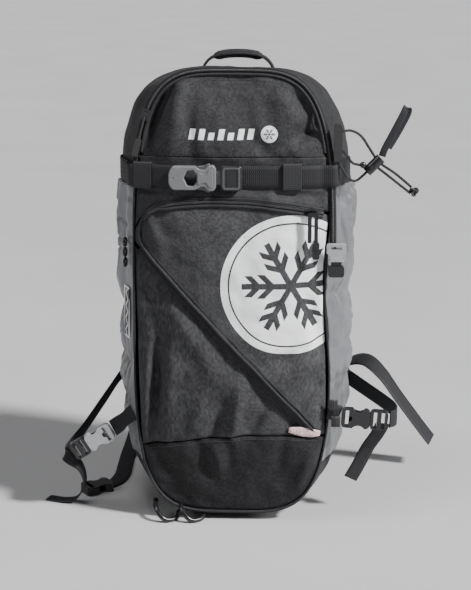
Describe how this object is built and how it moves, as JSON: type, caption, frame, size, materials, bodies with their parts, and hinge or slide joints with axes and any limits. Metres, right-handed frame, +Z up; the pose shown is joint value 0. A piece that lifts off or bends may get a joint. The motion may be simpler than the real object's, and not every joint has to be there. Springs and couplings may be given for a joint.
{
  "type": "ski backpack",
  "caption": "Ski touring backpack with arched zip flap, front pocket, compression straps with side-release buckles, padded harness and cord lock loop.",
  "frame": {"origin": "centre of the flat base patch that the pack stands on", "axes": "+Z up, -Y the front with the pocket, +X to the right as seen from the front"},
  "size_m": [0.4856, 0.2833, 0.5334],
  "materials": {
    "cordura_black": "matt woven nylon",
    "cordura_grey": "matt woven nylon, fine grain",
    "dobby_black": "ripstop weave with a small raised square",
    "nylon_grey": "smooth nylon with a slight sheen",
    "lining_grey": "thin coated lining",
    "frame_plastic": "translucent white sheet",
    "stay_aluminium": "brushed bar",
    "mesh_foam": "spacer mesh over foam",
    "zip_black": "coil and coated tape",
    "tape_pink": "reflective tape",
    "patch_white": "woven label",
    "webbing_black": "ribbed nylon webbing",
    "acetal_silver": "satin silver acetal",
    "acetal_black": "smooth black acetal",
    "cord_black": "braided sheath over rubber",
    "zip_metal": "plated zinc"
  },
  "bodies": {
    "bag": {"base_panel": "cordura_black", "bottom_panel": "cordura_black", "boot_panel": "cordura_black", "lower_left_panel": "dobby_black", "pocket_panel": "cordura_grey", "front_band": "cordura_grey", "left_side_panel": "nylon_grey", "right_side_panel": "nylon_grey", "top_gusset": "cordura_grey", "back_panel": "cordura_black", "inner_divider": "lining_grey", "water_sleeve": "lining_grey", "frame_sheet": "frame_plastic", "frame_stays": "stay_aluminium", "back_pads": "mesh_foam", "lumbar_pad": "mesh_foam", "dome_zip": "zip_black", "pocket_zip": "zip_black", "diagonal_welt": "zip_black", "zip_garage_tape": "tape_pink", "base_piping": "zip_black", "front_strap_left": "webbing_black", "front_strap_right": "webbing_black", "strap_keepers": "webbing_black", "front_buckle_female": "acetal_silver", "ski_loops": "acetal_black", "daisy_loops": "webbing_black", "label_patch": "patch_white", "cord_wrap": "acetal_black", "cord_knob": "acetal_black", "shock_cord_upper": "cord_black", "shock_cord_lower": "cord_black", "shock_cord_tail": "cord_black", "shock_cord_stub": "cord_black", "tail_knot": "acetal_black", "cord_lock": "acetal_black", "lock_tape": "webbing_black", "side_clip_female": "acetal_silver", "left_strap": "webbing_black", "left_buckle_female": "acetal_silver", "right_strap": "webbing_black", "right_buckle_female": "acetal_black"},
    "top_flap": {"dome_panel": "cordura_grey"},
    "dome_slider": {"dome_slider": "zip_metal"},
    "dome_pull": {"dome_pull": "zip_metal"},
    "pocket_slider": {"pocket_slider": "zip_metal"},
    "pocket_pull": {"pocket_pull": "zip_metal"},
    "front_buckle_plug": {"front_buckle_male": "acetal_black"},
    "buckle_arm_upper": {"buckle_arm_upper": "acetal_silver"},
    "buckle_arm_lower": {"buckle_arm_lower": "acetal_silver"},
    "left_buckle_plug": {"left_buckle_male": "acetal_black"},
    "right_buckle_plug": {"right_buckle_male": "acetal_black"},
    "side_clip_plug": {"side_clip_male": "acetal_black"},
    "lock_button": {"lock_button": "acetal_black"},
    "grab_handle": {"grab_handle": "webbing_black"},
    "shoulder_left": {"shoulder_left": "mesh_foam"},
    "shoulder_right": {"shoulder_right": "mesh_foam"},
    "sternum_strap": {"sternum_strap": "webbing_black"},
    "hip_wing_left": {"hip_wing_left": "mesh_foam"},
    "hip_wing_right": {"hip_wing_right": "mesh_foam"}
  },
  "joints": [
    {"name": "flap_open", "type": "hinge", "parent": "bag", "child": "top_flap", "pos_m": [0, -0.082, 0.43], "axis": [1, 0, 0], "range_deg": [0, 85]},
    {"name": "dome_zip_run", "type": "hinge", "parent": "bag", "child": "dome_slider", "pos_m": [-0.03766, -0.07199, 0.46201], "axis": [-0.0025, 0.994, -0.109], "range_deg": [0, 60.6]},
    {"name": "dome_pull_swing", "type": "hinge", "parent": "dome_slider", "child": "dome_pull", "pos_m": [-0.09886, -0.07612, 0.47583], "axis": [-0.9659, 0, 0.2588], "range_deg": [0, 120]},
    {"name": "pocket_zip_run", "type": "hinge", "parent": "bag", "child": "pocket_slider", "pos_m": [-0.00246, 0.07605, 0.07304], "axis": [-0.0014, -0.8705, -0.4921], "range_deg": [0, 29.1]},
    {"name": "pocket_pull_swing", "type": "hinge", "parent": "pocket_slider", "child": "pocket_pull", "pos_m": [0.09097, -0.09877, 0.36901], "axis": [-1, 0, 0], "range_deg": [0, 120]},
    {"name": "front_buckle_release", "type": "slide", "parent": "bag", "child": "front_buckle_plug", "axis": [1, 0, 0], "range_m": [0, 0.036]},
    {"name": "buckle_arm_squeeze", "type": "hinge", "parent": "front_buckle_plug", "child": "buckle_arm_upper", "pos_m": [-0.0308, -0.09287, 0.418], "axis": [0, -1, 0], "range_deg": [0, 6], "stiffness_Nm_per_rad": 0.2},
    {"name": "buckle_arm_squeeze_lower", "type": "hinge", "parent": "front_buckle_plug", "child": "buckle_arm_lower", "pos_m": [-0.0308, -0.09287, 0.4], "axis": [0, 1, 0], "range_deg": [0, 6], "stiffness_Nm_per_rad": 0.2},
    {"name": "left_buckle_release", "type": "slide", "parent": "bag", "child": "left_buckle_plug", "axis": [-0.8526, 0, -0.5225], "range_m": [0, 0.017]},
    {"name": "right_buckle_release", "type": "slide", "parent": "bag", "child": "right_buckle_plug", "axis": [0.9976, 0, -0.0698], "range_m": [0, 0.017]},
    {"name": "side_clip_release", "type": "slide", "parent": "bag", "child": "side_clip_plug", "axis": [0, 0, -1], "range_m": [0, 0.012]},
    {"name": "lock_button_press", "type": "slide", "parent": "bag", "child": "lock_button", "axis": [0, 1, 0], "range_m": [0, 0.001], "stiffness_N_per_m": 300},
    {"name": "grab_handle_swing", "type": "hinge", "parent": "bag", "child": "grab_handle", "pos_m": [0, 0.084, 0.506], "axis": [1, 0, 0], "range_deg": [-95, 45]},
    {"name": "shoulder_left_swing", "type": "hinge", "parent": "bag", "child": "shoulder_left", "pos_m": [0, 0.096, 0.462], "axis": [1, 0, 0], "range_deg": [0, 35]},
    {"name": "shoulder_right_swing", "type": "hinge", "parent": "bag", "child": "shoulder_right", "pos_m": [0, 0.096, 0.462], "axis": [1, 0, 0], "range_deg": [0, 35]},
    {"name": "sternum_height", "type": "slide", "parent": "shoulder_left", "child": "sternum_strap", "axis": [0, 0, 1], "range_m": [-0.025, 0.025]},
    {"name": "hip_left_wrap", "type": "hinge", "parent": "bag", "child": "hip_wing_left", "pos_m": [-0.088, 0.1, 0.108], "axis": [0, 0, -1], "range_deg": [0, 45]},
    {"name": "hip_right_wrap", "type": "hinge", "parent": "bag", "child": "hip_wing_right", "pos_m": [0.088, 0.1, 0.108], "axis": [0, 0, 1], "range_deg": [-10, 45]}
  ],
  "couplings": [
    {"joint": "buckle_arm_squeeze_lower", "follows": "buckle_arm_squeeze", "ratio": 1},
    {"joint": "shoulder_right_swing", "follows": "shoulder_left_swing", "ratio": 1}
  ]
}
